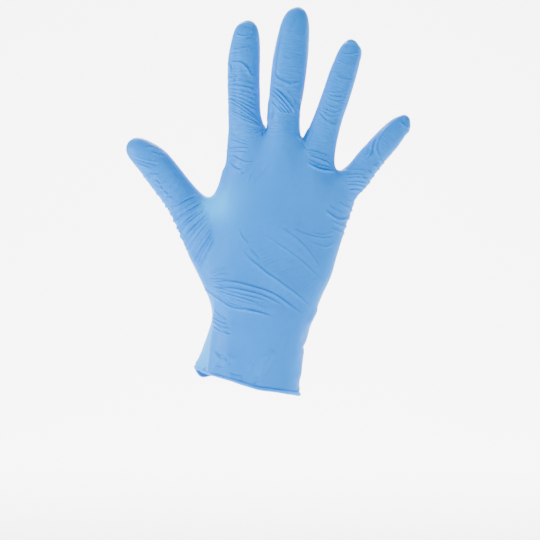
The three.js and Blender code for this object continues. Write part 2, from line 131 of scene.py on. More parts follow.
# creases on the back of the glove
# line: pixels of the picture; half: half breadth, height: both in millimetres, a groove less than nothing.
backCreases = {
    "index": [
        {"half": 0.6, "height": 0.34, "line": [(236.5, 33), (239, 35.6), (245, 36.6), (250.5, 34.6),
            (252.5, 31)]},
        {"half": 0.6, "height": -0.20, "line": [(239, 28), (242, 26.4), (247, 25.6), (252, 27.6)]},
        {"half": 0.5, "height": 0.16, "line": [(240.5, 24.6), (243, 23.4), (247, 22.8), (252, 25)]},
        {"half": 0.7, "height": 0.14, "line": [(250, 29), (253.5, 34), (255.5, 40), (251, 44)]},
        {"half": 0.6, "height": 0.34, "line": [(232.5, 49.9), (240, 49.6), (250.5, 47)]},
        {"half": 0.6, "height": 0.20, "line": [(229.5, 54), (233, 54.6), (236, 53.4)]},
        {"half": 0.9, "height": 0.34, "line": [(230, 63), (236, 62.4), (242, 64), (247, 69), (250.5, 75),
            (255, 77)]},
        {"half": 0.6, "height": 0.28, "line": [(229.4, 62), (231, 69), (230.5, 74)]},
        {"half": 0.6, "height": 0.36, "line": [(229, 77.4), (233, 78.4), (237, 76.6)]},
        {"half": 0.6, "height": 0.14, "line": [(236, 82), (243, 80.4), (250, 83)]},
        {"half": 0.6, "height": 0.20, "line": [(230, 134), (238, 139.5), (247.6, 143)]},
        {"half": 0.6, "height": 0.24, "line": [(229, 138.6), (238, 142.6), (247.6, 145.6)]},
        {"half": 0.6, "height": 0.34, "line": [(226, 150), (237, 148.4), (248.6, 149)]},
        {"half": 0.6, "height": 0.22, "line": [(229.5, 152), (237, 152.5), (246.5, 153)]},
        {"half": 0.6, "height": 0.24, "line": [(228.5, 159.5), (233, 156.6), (239, 160), (247, 163),
            (254, 162)]},
        {"half": 0.8, "height": 0.26, "line": [(229.5, 163), (233, 167), (239, 170.4), (244, 169.5),
            (248.7, 166), (253, 163)]},
        {"half": 0.6, "height": 0.16, "line": [(250.8, 185.3), (258, 177), (268, 166)]},
        {"half": 0.6, "height": 0.12, "line": [(247, 182), (253, 172), (262, 165)]},
    ],
    "middle": [
        {"half": 1.7, "height": 0.17, "line": [(294, 18), (289.5, 25), (284.7, 33)]},
        {"half": 0.8, "height": 0.26, "line": [(281, 36), (277, 50), (274, 75)]},
        {"half": 0.8, "height": 0.36, "line": [(274, 72.5), (277, 78.5), (282.5, 82), (289, 84.6),
            (294, 84.3), (300.7, 82)]},
        {"half": 0.6, "height": 0.22, "line": [(273, 84), (279, 86.8), (285, 87.5)]},
        {"half": 0.8, "height": 0.22, "line": [(274, 88), (284, 98), (296.5, 114)]},
        {"half": 0.7, "height": 0.18, "line": [(271, 90), (279, 98.5), (288, 109)]},
        {"half": 0.7, "height": 0.24, "line": [(270, 94), (275, 100), (280, 106)]},
        {"half": 0.7, "height": 0.20, "line": [(271, 100), (276, 107), (281, 112)]},
        {"half": 0.7, "height": 0.24, "line": [(295, 96), (298, 98.5), (299.6, 102), (299.6, 108),
            (298.5, 113)]},
        {"half": 0.7, "height": 0.16, "line": [(286, 92), (292, 98), (296, 106)]},
        {"half": 1.0, "height": 0.12, "line": [(283, 58), (290, 60), (297, 57)]},
        {"half": 0.8, "height": 0.24, "line": [(266.5, 128), (270, 121), (272.5, 113)]},
    ],
    "ring": [
        {"half": 0.7, "height": 0.32, "line": [(344, 45), (347, 43.6), (352, 43), (356, 44.6),
            (359, 48)]},
        {"half": 0.6, "height": 0.20, "line": [(342, 54), (350, 54.6), (359, 53)]},
        {"half": 0.7, "height": 0.18, "line": [(337, 77), (345, 79.5), (355, 81)]},
        {"half": 0.8, "height": 0.12, "line": [(333, 96), (340, 98.5), (347, 98)]},
        {"half": 0.7, "height": 0.20, "line": [(319, 114), (323, 119), (327, 123)]},
        {"half": 0.7, "height": 0.20, "line": [(327, 122), (331.5, 124.6), (336, 126)]},
        {"half": 0.8, "height": 0.38, "line": [(307.7, 163), (312, 166.6), (318, 169), (326, 170.8),
            (335, 171)]},
        {"half": 0.7, "height": 0.30, "line": [(308.7, 155), (314, 157.6), (321, 160), (328, 164),
            (334, 169)]},
    ],
    "little": [
        {"half": 0.7, "height": 0.26, "line": [(400, 121.7), (404, 125.6), (407.6, 130)]},
        {"half": 0.8, "height": 0.22, "line": [(391, 124.5), (385, 130), (379.6, 137), (376.8, 143),
            (376.3, 150), (378.5, 155.5), (382.4, 159)]},
        {"half": 0.7, "height": 0.30, "line": [(376, 137), (372.4, 144.5), (370, 152), (367.5, 156),
            (364, 159)]},
        {"half": 0.6, "height": -0.30, "line": [(366.5, 155), (369, 151), (371, 148.5)]},
        {"half": 0.7, "height": 0.22, "line": [(377, 163), (381.5, 167.5)]},
    ],
    "thumb": [
        {"half": 0.7, "height": -0.34, "line": [(130, 156.8), (138, 159.6), (148, 162.5), (158, 164)]},
        {"half": 0.6, "height": 0.26, "line": [(133, 162.5), (142, 165.4), (150, 168.5)]},
        {"half": 0.6, "height": 0.24, "line": [(146, 147.5), (154, 149), (163, 153.4)]},
        {"half": 0.6, "height": 0.20, "line": [(152, 152.6), (158, 154.4), (164, 157.6)]},
        {"half": 0.6, "height": 0.24, "line": [(146, 178), (151, 174.5), (158, 175)]},
        {"half": 0.7, "height": 0.20, "line": [(150, 184.5), (156, 181.5), (160, 184.5), (166, 182)]},
        {"half": 0.7, "height": 0.22, "line": [(153, 190.5), (159, 187), (164, 190), (171, 186)]},
        {"half": 0.7, "height": 0.24, "line": [(158, 196), (164, 192.4), (169, 195), (177, 190)]},
        {"half": 0.7, "height": 0.24, "line": [(162, 201), (168, 197.4), (174, 199), (183, 193)]},
    ],
    "webs": [
        {"half": 0.6, "height": 0.26, "line": [(253, 131), (257.5, 130.6), (262, 127)]},
        {"half": 0.6, "height": 0.22, "line": [(255, 134.5), (259.5, 133.4), (263, 130)]},
        {"half": 0.6, "height": 0.27, "line": [(266.5, 121), (264.8, 126), (264.6, 133)]},
        {"half": 0.6, "height": -0.22, "line": [(262.2, 129), (262.6, 133), (263.4, 137)]},
        {"half": 0.6, "height": 0.26, "line": [(297, 136), (301, 140.5), (305, 141.6)]},
        {"half": 0.6, "height": 0.26, "line": [(309, 128), (306, 134), (303.6, 140), (303, 145)]},
        {"half": 0.6, "height": 0.20, "line": [(313, 131), (309.5, 137), (306.5, 143)]},
        {"half": 0.6, "height": -0.26, "line": [(302.4, 141), (303.4, 145), (306, 148)]},
    ],
    "littleSide": [
        {"half": 0.8, "height": 0.17, "line": [(344, 197), (350, 201.4), (358, 206)]},
        {"half": 0.8, "height": 0.29, "line": [(339, 203), (346, 207.4), (352, 210), (359, 212)]},
        {"half": 0.8, "height": 0.31, "line": [(326, 211), (334, 217.6), (342, 219.4), (349, 218.6),
            (357, 216)]},
        {"half": 0.8, "height": 0.24, "line": [(335, 221), (342, 225.6), (348, 226.4), (354, 224)]},
        {"half": 1.0, "height": 0.26, "line": [(334, 228.5), (340, 232), (345, 233.4), (350, 233)]},
        {"half": 0.7, "height": -0.26, "line": [(347, 214.6), (351, 213.6), (357, 210.5)]},
        {"half": 0.7, "height": -0.17, "line": [(345, 222), (349, 222), (355, 219.6)]},
        {"half": 0.8, "height": 0.15, "line": [(351, 193), (356, 197), (362, 199.4)]},
        {"half": 0.8, "height": 0.22, "line": [(386, 165), (383, 162), (379, 159)]},
        {"half": 0.9, "height": 0.29, "line": [(381.5, 171), (378, 168), (373, 165)]},
        {"half": 0.8, "height": 0.24, "line": [(376, 177.5), (372, 174), (367, 171)]},
        {"half": 0.9, "height": 0.27, "line": [(371, 184), (367, 180.5), (361, 177)]},
    ],
    "thumbSide": [
        {"half": 1.2, "height": -0.21, "line": [(120, 160), (128, 166.4), (136, 169)]},
        {"half": 1.1, "height": 0.13, "line": [(134, 176), (142, 177), (149, 175)]},
        {"half": 0.9, "height": 0.15, "line": [(146, 191), (152, 187.4), (158, 186)]},
        {"half": 1.1, "height": 0.24, "line": [(149, 198), (157, 194), (163, 193.5)]},
        {"half": 0.8, "height": 0.21, "line": [(156, 206), (162, 202), (168, 201)]},
        {"half": 0.9, "height": 0.28, "line": [(158, 211.5), (165, 207), (172, 204.6)]},
        {"half": 0.8, "height": 0.18, "line": [(162, 220), (169, 215.6), (175, 212)]},
        {"half": 0.9, "height": 0.24, "line": [(166, 227), (172, 223.4), (178, 219)]},
        {"half": 0.8, "height": 0.15, "line": [(169, 233.5), (175, 230), (180, 226)]},
        {"half": 0.9, "height": 0.18, "line": [(173, 242), (178, 238), (183, 233.5)]},
        {"half": 0.9, "height": 0.13, "line": [(180, 255), (185, 250), (190, 244)]},
    ],
    "back": [
        {"half": 0.8, "height": 0.13, "line": [(239, 231), (242.5, 238), (248, 244.6)]},
        {"half": 0.8, "height": 0.26, "line": [(243.5, 252.5), (250.5, 260), (259.3, 267.3), (267.5, 274),
            (276.3, 279.7), (284.5, 286), (293.3, 292.2), (302, 299.5), (310.3, 307)]},
        {"half": 0.9, "height": 0.13, "line": [(249, 249), (254, 255), (259, 260)]},
        {"half": 0.7, "height": 0.14, "line": [(264, 235.5), (270, 239), (276, 243.5), (284.5, 249),
            (293, 255), (302, 262), (310, 269.5), (317, 276.5), (323, 283)]},
        {"half": 0.7, "height": 0.12, "line": [(277.5, 227.6), (283, 230), (289, 234), (298.5, 241),
            (307, 250), (314, 259.5), (320.5, 269.5)]},
        {"half": 0.7, "height": 0.14, "line": [(293, 229), (302, 233.5), (314, 237), (324, 238.4),
            (333, 238)]},
        {"half": 0.7, "height": 0.11, "line": [(310, 242), (318, 245.6), (327, 247), (336, 243)]},
        {"half": 0.7, "height": 0.12, "line": [(312, 233.4), (322, 235.2), (334, 233)]},
        {"half": 0.7, "height": 0.22, "line": [(343, 206), (347, 207.6), (351, 210)]},
        {"half": 0.7, "height": 0.24, "line": [(325.5, 212), (331, 216), (337, 220), (342, 220.4),
            (346, 219)]},
        {"half": 0.7, "height": 0.22, "line": [(333, 222), (339, 225.4), (345, 226)]},
        {"half": 0.7, "height": 0.16, "line": [(328, 206), (336, 210.5), (345, 214.5)]},
        {"half": 0.7, "height": 0.14, "line": [(331, 228.6), (337, 231.5), (342, 233)]},
        {"half": 0.7, "height": 0.17, "line": [(346, 200.5), (350.5, 202), (353, 204.6)]},
    ],
    "wrist": [
        {"half": 0.7, "height": 0.23, "line": [(210, 274), (213.5, 271), (218.5, 267.8)]},
        {"half": 0.7, "height": 0.22, "line": [(211.7, 276.3), (215.5, 273.4), (219.7, 270.7),
            (225.3, 267.8)]},
        {"half": 0.7, "height": 0.19, "line": [(214, 278.6), (219.7, 275.4), (228.7, 274)]},
        {"half": 0.8, "height": 0.36, "line": [(205, 279.5), (211.7, 282.4), (218, 282.4), (225, 282),
            (233.5, 282.4), (242, 284), (256, 288), (271, 293), (281, 299), (291, 306.4), (302, 314)]},
        {"half": 0.8, "height": 0.30, "line": [(206, 284), (212, 287.4), (217, 289), (225.5, 288.6),
            (234, 289), (246.5, 291.2), (259, 294.5), (271, 299.5), (282, 305)]},
        {"half": 0.8, "height": 0.20, "line": [(213, 290), (223, 293), (233, 296), (243.5, 299),
            (253, 302.4), (262, 306)]},
        {"half": 0.8, "height": 0.37, "line": [(204, 286), (206, 290), (212.5, 295), (220, 300),
            (225.5, 303.8), (231, 307), (239.5, 309), (248, 310), (259.5, 312.6), (271, 316)]},
        {"half": 0.7, "height": 0.14, "line": [(219, 295.4), (228, 299.4), (238, 302.6)]},
        {"half": 0.8, "height": 0.20, "line": [(213, 309), (219, 315.6), (226.5, 319.5)]},
        {"half": 0.7, "height": 0.16, "line": [(212.5, 316.5), (220, 322), (228, 325)]},
        {"half": 0.8, "height": 0.23, "line": [(216, 322.5), (223, 326.8), (231, 328.5)]},
        {"half": 0.7, "height": 0.19, "line": [(219, 326.5), (224.6, 331.4), (230, 334)]},
    ],
    "cuff": [
        {"half": 1.3, "height": 0.24, "line": [(213, 350), (216, 354), (220, 356), (225.5, 355.8),
            (231, 354)]},
        {"half": 1.3, "height": 0.26, "line": [(213.5, 361.5), (221, 359), (229, 358.4), (236, 355)]},
        {"half": 0.8, "height": 0.14, "line": [(216, 364), (222, 366), (230, 364)]},
        {"half": 0.9, "height": 0.20, "line": [(229, 371), (235, 372.8), (242, 373)]},
        {"half": 1.2, "height": 0.22, "line": [(249, 366), (256, 360), (267, 354)]},
        {"half": 2.4, "height": 0.26, "line": [(274, 349), (267, 360), (258, 372)]},
        {"half": 0.8, "height": 0.20, "line": [(250, 380), (254, 376), (258, 374)]},
        {"half": 2.2, "height": 0.16, "line": [(282, 333), (279, 345), (277, 358)]},
        {"half": 2.2, "height": 0.18, "line": [(300, 330), (297, 344), (296, 360)]},
        {"half": 1.6, "height": 0.40, "line": [(318, 308), (313.5, 315), (309, 323)]},
        {"half": 1.4, "height": 0.34, "line": [(312, 330), (306, 340), (300, 346)]},
        {"half": 2.6, "height": 0.50, "line": [(303, 347), (303.4, 358), (302, 370), (299.5, 379)]},
        {"half": 0.9, "height": 0.26, "line": [(303, 383), (299, 388), (294, 391)]},
    ],
    "edges": [
        {"half": 3.2, "height": 0.36, "line": [(230.5, 44), (228.4, 56), (227.8, 70), (228.2, 95),
            (228.8, 125)]},
        {"half": 2.8, "height": 0.30, "line": [(270, 98), (268, 112), (266.4, 125)]},
        {"half": 4.2, "height": 0.20, "line": [(350, 38), (356, 39.6), (360.6, 44.5), (362, 51),
            (361, 60)]},
        {"half": 3.6, "height": 0.55, "line": [(405, 116), (410, 120), (409.5, 127), (405, 134)]},
    ],
}


# Creases on the palm side, finished plainly: lines across the joints, and long ones over the palm.
palmCreases = {
    "palm": [
        {"half": 1.2, "height": -0.35, "line": [(232, 200), (236, 225), (236, 250), (228, 276)]},
        {"half": 1.2, "height": -0.30, "line": [(236, 204), (262, 212), (292, 222), (318, 240)]},
        {"half": 1.1, "height": -0.28, "line": [(338, 206), (312, 199), (290, 187), (282, 172)]},
        {"half": 0.9, "height": 0.34, "line": [(212, 276), (232, 286), (258, 290)]},
        {"half": 0.9, "height": 0.38, "line": [(210, 283), (236, 296), (266, 300), (290, 298)]},
        {"half": 0.9, "height": 0.40, "line": [(211, 293), (238, 305), (272, 309), (306, 302)]},
        {"half": 0.9, "height": 0.30, "line": [(214, 304), (240, 315), (268, 318)]},
        {"half": 0.9, "height": 0.30, "line": [(311, 300), (298, 308), (280, 311)]},
        {"half": 0.9, "height": 0.32, "line": [(308, 312), (292, 320), (268, 324)]},
        {"half": 0.9, "height": 0.24, "line": [(332, 262), (312, 270), (296, 284)]},
        {"half": 0.9, "height": 0.22, "line": [(334, 252), (316, 256), (298, 266)]},
        {"half": 0.8, "height": 0.28, "line": [(222, 236), (214, 246), (207, 262)]},
        {"half": 0.8, "height": 0.30, "line": [(216, 228), (208, 240), (200, 256)]},
        {"half": 0.8, "height": 0.28, "line": [(210, 222), (202, 234), (194, 249)]},
        {"half": 2.0, "height": 0.30, "line": [(272, 330), (268, 345), (262, 362)]},
        {"half": 2.0, "height": 0.26, "line": [(226, 330), (228, 346), (224, 362)]},
        {"half": 1.8, "height": 0.20, "line": [(246, 336), (250, 352), (246, 370)]},
    ],
}
joints = [   # root, tip and width of each digit in the picture, and where along it the joints lie
    {"root": (244, 140), "tip": (246, 20), "width": 32, "at": (0.06, 0.36, 0.68)},
    {"root": (282, 133), "tip": (297, 7), "width": 34, "at": (0.06, 0.37, 0.68)},
    {"root": (320, 150), "tip": (353, 40), "width": 28, "at": (0.08, 0.38, 0.69)},
    {"root": (350, 180), "tip": (407, 117), "width": 25, "at": (0.12, 0.40, 0.68)},
    {"root": (184, 210), "tip": (131, 141), "width": 34, "at": (0.12, 0.50)},
]
jointLook = {   # three short lines at each joint, in shares of the digit's length and width
    "shifts": (-0.026, 0.004, 0.032), "shiftSpread": 0.006, "tilt": 0.16, "bow": (-2.2, 1.2),
    "reach": (0.30, 0.46), "half": (0.7, 0.95), "height": (0.2, 0.38), "seed": 11,
}


def jointCreases():
    dice, spread = random.Random(jointLook["seed"]), jointLook["shiftSpread"]
    lines = []
    for digit in joints:
        rootX, rootY = digit["root"]
        alongX, alongY = digit["tip"][0] - rootX, digit["tip"][1] - rootY
        length = math.hypot(alongX, alongY)
        alongX, alongY = alongX / length, alongY / length
        for at in digit["at"]:
            for shift in jointLook["shifts"]:
                place = (at + shift + dice.uniform(-spread, spread)) * length
                reach = digit["width"] * dice.uniform(*jointLook["reach"])
                tilt = dice.uniform(-jointLook["tilt"], jointLook["tilt"])
                bow = dice.uniform(*jointLook["bow"])
                line = []
                for step in (-1, -0.5, 0, 0.5, 1):
                    side = step * reach
                    ahead = place + tilt * side + bow * (1 - step * step)
                    line.append((rootX + alongX * ahead - alongY * side,
                                 rootY + alongY * ahead + alongX * side))
                lines.append({"line": line, "half": dice.uniform(*jointLook["half"]),
                              "height": dice.uniform(*jointLook["height"])})
    return lines


palmCreases["joints"] = jointCreases()

# Shape of one crease: a ridge with a narrow valley on its right, or over it where it runs flat.
pinch = {
    "gain": 2.1,                               # film pinches sharper than the heights listed above
    "valley": 0.7, "valleyAt": 1.45, "valleyHalf": 0.62,   # depth, place and breadth, in half breadths
    "reach": 3.2, "refineReach": 1.7,          # half breadths that are moved, and split finer
    "step": 0.0004, "endSlope": 4.5, "endShare": 0.12,      # metres along it, and how it fades at its ends
    "lean": 0.2,                               # how steep a crease counts as running flat
    "turned": -0.3, "fadeFrom": -0.25, "fadeOver": 0.35,   # how far round the side it reaches
}


# Fans of fine gathers, each drawn between its first and its last line.
fans = [
    {"first": [(228, 83), (240, 82), (256, 86)], "last": [(229, 98), (242, 104), (257, 112)],
     "count": 6, "half": 0.7, "height": 0.26},
    {"first": [(228, 99), (243, 108), (258, 120)], "last": [(229, 113), (244, 121), (260.5, 128.5)],
     "count": 6, "half": 0.75, "height": 0.34},
    {"first": [(166.5, 209.5), (180, 202), (195, 194.5)], "last": [(179, 243), (191, 227), (208, 212)],
     "count": 9, "half": 0.72, "height": 0.5},
    {"first": [(184, 246), (194, 231), (209, 214)], "last": [(197, 271), (204, 255), (214, 237)],
     "count": 7, "half": 0.72, "height": 0.46},
    {"first": [(273, 88), (283, 97), (295, 113)], "last": [(271, 101), (276, 108), (283, 115)],
     "count": 5, "half": 0.55, "height": 0.28},
    {"first": [(329, 92), (338, 93), (349, 91)], "last": [(321, 112), (331, 117), (341, 116)],
     "count": 6, "half": 0.55, "height": 0.16},
    {"first": [(306, 150), (316, 152), (330, 158)], "last": [(309, 164), (319, 169), (335, 171.5)],
     "count": 5, "half": 0.55, "height": 0.30},
    {"first": [(343, 172), (354, 170.6), (366, 171)], "last": [(349, 190), (358, 190), (367, 193)],
     "count": 6, "half": 0.6, "height": 0.24},
    {"first": [(205, 279.5), (225, 280), (268, 290)], "last": [(206, 288), (232, 304), (268, 314)],
     "count": 5, "half": 0.7, "height": 0.20},
    {"first": [(211, 313), (219, 318), (227, 320)], "last": [(213, 327), (221, 332), (231, 334.5)],
     "count": 4, "half": 0.55, "height": 0.22},
]


fanLook = {"seed": 7, "apart": 0.2, "stray": 0.5, "half": (0.85, 1.15), "height": (0.55, 1.15)}


def drawFan(fan, dice):
    apart, stray = fanLook["apart"], fanLook["stray"]
    lines = []
    for k in range(fan["count"]):
        t = (k + dice.uniform(-apart, apart)) / (fan["count"] - 1)
        line = [(xa + (xb - xa) * t + dice.uniform(-stray, stray),
                 ya + (yb - ya) * t + dice.uniform(-stray, stray))
                for (xa, ya), (xb, yb) in zip(fan["first"], fan["last"])]
        lines.append({"line": line, "half": fan["half"] * dice.uniform(*fanLook["half"]),
                      "height": fan["height"] * dice.uniform(*fanLook["height"])})
    return lines


fanDice = random.Random(fanLook["seed"])
backCreases["fans"] = [crease for fan in fans for crease in drawFan(fan, fanDice)]


def pointsAndNormals(mesh):
    places, normals = [0.0] * (3 * len(mesh.vertices)), [0.0] * (3 * len(mesh.vertices))
    mesh.vertices.foreach_get("co", places)
    mesh.vertex_normals.foreach_get("vector", normals)
    triples = range(0, len(places), 3)
    return [Vector(places[i:i + 3]) for i in triples], [Vector(normals[i:i + 3]) for i in triples]


def movePoints(mesh, places):
    mesh.vertices.foreach_set("co", [value for place in places for value in place])
    mesh.update()


def smoothLine(points, spacing):
    flat = [fromPicture(x, y) for x, y in points]
    padded = [flat[0]] + flat + [flat[-1]]
    line = []
    for i in range(1, len(padded) - 2):
        a, b, c, d = padded[i - 1:i + 3]
        steps = max(2, int(math.dist(b, c) / spacing))
        for k in range(steps):
            t = k / steps
            line.append(tuple(0.5 * (2 * q + (r - p) * t + (2 * p - 5 * q + 4 * r - s) * t * t
                                     + (3 * q - p - 3 * r + s) * t ** 3) for p, q, r, s in zip(a, b, c, d)))
    line.append(flat[-1])
    return line


# The points on one side of the glove, found by their place in the picture's plane.
def facingTree(places, normals, side):
    facing = [i for i, normal in enumerate(normals) if normal.y * side > pinch["turned"]]
    tree = kdtree.KDTree(len(facing))
    for i in facing:
        tree.insert((places[i].x, places[i].z, 0), i)
    tree.balance()
    return tree


# Raises each crease along the skin's own normals, on one side of the glove, strongest in mid length.
def raiseCreases(mesh, groups, side):
    places, normals = pointsAndNormals(mesh)
    tree = facingTree(places, normals, side)
    rise = {}
    for crease in [crease for lines in groups.values() for crease in lines]:
        half = crease["half"] * 0.001
        path = smoothLine(crease["line"], pinch["step"])
        nearest = {}
        for k, (x, z) in enumerate(path):
            for _, i, distance in tree.find_range((x, z, 0), half * pinch["reach"]):
                if i not in nearest or distance < nearest[i][0]:
                    nearest[i] = (distance, k)
        for i, (distance, k) in nearest.items():
            t = k / (len(path) - 1)
            taper = min(1.0, pinch["endSlope"] * min(t, 1 - t) + pinch["endShare"])
            (xa, za), (xb, zb) = path[max(0, k - 1)], path[min(len(path) - 1, k + 1)]
            away = (places[i].x - path[k][0]) * (za - zb) + (places[i].z - path[k][1]) * (xb - xa)
            if za - zb + (xb - xa) * pinch["lean"] < 0:
                away = -away
            across = math.copysign(distance / half, away)
            shape = math.exp(-across * across)
            shape -= pinch["valley"] * math.exp(-((across - pinch["valleyAt"]) / pinch["valleyHalf"]) ** 2)
            rise[i] = rise.get(i, 0.0) + crease["height"] * pinch["gain"] * 0.001 * taper * shape
    for i, amount in rise.items():
        facing = (normals[i].y * side - pinch["fadeFrom"]) / pinch["fadeOver"]
        places[i] += normals[i] * amount * min(1.0, max(0.0, facing))
    movePoints(mesh, places)
    return len(rise)


swell = {   # slow unevenness of stretched film, and the slack cuff's softer waves
    "filmScale": 95.0, "filmHeight": 0.00016, "fineScale": 320.0, "fineHeight": 0.00005,
    "cuffScale": 42.0, "cuffHeight": 0.0007, "cuffTop": 0.040, "cuffFade": 0.03, "cuffStretch": 0.45,
}


def loosenFilm(mesh):
    places, normals = pointsAndNormals(mesh)
    for i, co in enumerate(places):
        slack = min(1.0, max(0.0, (swell["cuffTop"] - co.z) / swell["cuffFade"]))
        push = swell["filmHeight"] * noise.noise(co * swell["filmScale"])
        push += swell["fineHeight"] * noise.noise(co * swell["fineScale"] + Vector((3, 1, 7)))
        long = Vector((co.x, co.y, co.z * swell["cuffStretch"]))
        push += slack * swell["cuffHeight"] * noise.noise(long * swell["cuffScale"])
        places[i] = co + normals[i] * push
    movePoints(mesh, places)


litThroughSpots = [   # painted light shining through the thin film over the web of the thumb; place in pixels, reach in metres
    {"place": (212, 205), "reach": 0.010, "strength": 1.0},
    {"place": (226, 203), "reach": 0.013, "strength": 0.3},
]


# Splits the faces that lie under the creases of one side once more.
def refineNear(obj, groups, side):
    mesh = obj.data
    places, normals = pointsAndNormals(mesh)
    tree = facingTree(places, normals, side)
    near = set()
    for crease in [crease for lines in groups.values() for crease in lines]:
        reach = crease["half"] * 0.001 * pinch["refineReach"]
        for x, z in smoothLine(crease["line"], pinch["step"] * 2):
            near.update(i for _, i, _ in tree.find_range((x, z, 0), reach))
    mesh.vertices.foreach_set("select", [i in near for i in range(len(places))])
    mesh.polygons.foreach_set("select", [all(i in near for i in face.vertices) for face in mesh.polygons])
    selectOnly(obj)
    bpy.ops.object.mode_set(mode="EDIT")
    bpy.ops.mesh.select_mode(type="FACE")
    bpy.ops.mesh.subdivide(number_cuts=1)
    bpy.ops.object.mode_set(mode="OBJECT")


cuffFold = {   # the back of the cuff lies over its left side, which flares out behind it
    "line": [(213.5, 309), (212.6, 318), (211.4, 330), (210, 342), (208.8, 354), (207.4, 366), (206.4, 376)],
    "step": 0.0013, "breadth": 0.0007, "ease": 0.006,      # metres it steps back, and how soon
    "lip": 0.0004, "lipAt": 0.0006, "lipHalf": 0.0007,
    "top": 0.055, "fade": 0.012, "turned": 0.25, "turnFade": 0.4,
    # painted light: the share by which the flare behind the fold is paled, as if lit through from behind
    "litThrough": 0.75,
}


# How far a point lies to the left of the fold's line, and how far up the line it is.
def leftOfFold(co):
    line = [fromPicture(*point) for point in cuffFold["line"]]
    z = min(max(co.z, line[-1][1]), line[0][1])
    for (xa, za), (xb, zb) in zip(line, line[1:]):
        if zb <= z <= za:
            along = (za - z) / (za - zb)
            return xa + (xb - xa) * along - co.x, max(0.0, co.z - line[0][1])
    return line[-1][0] - co.x, 0.0


def foldCuff(mesh):
    places, normals = pointsAndNormals(mesh)
    behind = [0.0] * len(places)
    for i, co in enumerate(places):
        if co.z > cuffFold["top"] or normals[i].y > cuffFold["turned"] or co.x > 0:
            continue
        left, above = leftOfFold(co)
        fade = max(0.0, 1 - above / cuffFold["fade"])
        front = min(1.0, max(0.0, (cuffFold["turned"] - normals[i].y) / cuffFold["turnFade"]))
        step = 0.5 + 0.5 * math.tanh(left / cuffFold["breadth"])
        back = cuffFold["step"] * step * math.exp(-max(0.0, left) / cuffFold["ease"])
        back -= cuffFold["lip"] * math.exp(-((left + cuffFold["lipAt"]) / cuffFold["lipHalf"]) ** 2)
        places[i] = co + Vector((0, back * fade * front, 0))
        behind[i] = step * fade
    movePoints(mesh, places)
    return behind


# Notes on each point how much painted light, as if shining through the thin film from behind, pales its
# colour.
def markPaintedGlow(mesh, behind):
    places, _ = pointsAndNormals(mesh)
    litThrough = [cuffFold["litThrough"] * share for share in behind]
    for spot in litThroughSpots:
        x, z = fromPicture(*spot["place"])
        for i, co in enumerate(places):
            apart = ((co.x - x) ** 2 + (co.z - z) ** 2) / spot["reach"] ** 2
            litThrough[i] += spot["strength"] * math.exp(-apart)
    mesh.attributes.new("paintedGlow", "FLOAT", "POINT").data.foreach_set("value", litThrough)


loosenFilm(fineSkin.data)
loosenFilm(coarseSkin.data)
gathers = [   # root, tip and half width in the picture of the parts whose film gathers finely across them
    {"root": (242, 150), "tip": (245, 28), "half": 15, "amount": 1.0},
    {"root": (282, 145), "tip": (296, 16), "half": 16, "amount": 0.8},
    {"root": (318, 152), "tip": (351, 46), "half": 14, "amount": 0.8},
    {"root": (345, 186), "tip": (400, 124), "half": 13, "amount": 0.8},
    {"root": (196, 226), "tip": (136, 150), "half": 18, "amount": 1.0},
    {"root": (300, 300), "tip": (262, 215), "half": 34, "amount": 0.5},
]
gatherFade = {"metres": 0.012, "rootShare": 0.3, "apart": 60.0}


# Notes on each point how far along and across its digit it lies, in millimetres, and how much it gathers.
def markGathers(mesh):
    places, _ = pointsAndNormals(mesh)
    spots, amounts = [0.0] * (3 * len(places)), [0.0] * len(places)
    for number, digit in enumerate(gathers):
        (xa, za), (xb, zb) = fromPicture(*digit["root"]), fromPicture(*digit["tip"])
        length, half = math.hypot(xb - xa, zb - za), digit["half"] * view["metresPerPixel"]
        ux, uz = (xb - xa) / length, (zb - za) / length
        for i, co in enumerate(places):
            along, across = (co.x - xa) * ux + (co.z - za) * uz, (co.x - xa) * uz - (co.z - za) * ux
            ends = min(1.0, max(0.0, along / gatherFade["metres"] + gatherFade["rootShare"]),
                       max(0.0, (length - along) / gatherFade["metres"]))
            amount = ends * max(0.0, 1 - (across / half) ** 4) * digit["amount"]
            if amount > amounts[i]:
                amounts[i] = amount
                spots[3 * i:3 * i + 3] = (across * 1000, along * 1000, number * gatherFade["apart"])
    mesh.attributes.new("gatherPlace", "FLOAT_VECTOR", "POINT").data.foreach_set("vector", spots)
    mesh.attributes.new("gather", "FLOAT", "POINT").data.foreach_set("value", amounts)


foldGroup = {"fold": [{"line": cuffFold["line"], "half": 1.0, "height": 0.0}]}
refineNear(fineSkin, {**backCreases, **foldGroup}, -1)
print("stage: skin refined,", len(fineSkin.data.polygons), "faces")
markPaintedGlow(coarseSkin.data, [0.0] * len(coarseSkin.data.vertices))
markPaintedGlow(fineSkin.data, foldCuff(fineSkin.data))
markGathers(fineSkin.data)
markGathers(coarseSkin.data)
raised = raiseCreases(fineSkin.data, backCreases, -1) + raiseCreases(fineSkin.data, palmCreases, 1)
print("stage: creases raised on", raised, "points")


# film down to the rolled edge, and its inner side
def boundaryLoop(mesh):
    shape = bmesh.new()
    shape.from_mesh(mesh)
    edges = [e for e in shape.edges if e.is_boundary]
    start = edges[0].verts[0]
    loop, before, here = [start.co.copy()], None, start
    while True:
        ways = [edge.other_vert(here) for edge in here.link_edges if edge.is_boundary]
        before, here = here, [way for way in ways if way != before][0]
        if here == start:
            break
        loop.append(here.co.copy())
    shape.free()
    return loop


def selectBoundary():
    bpy.ops.mesh.select_non_manifold(extend=False, use_wire=False, use_boundary=True, use_multi_face=False,
                                     use_non_contiguous=False, use_verts=False)


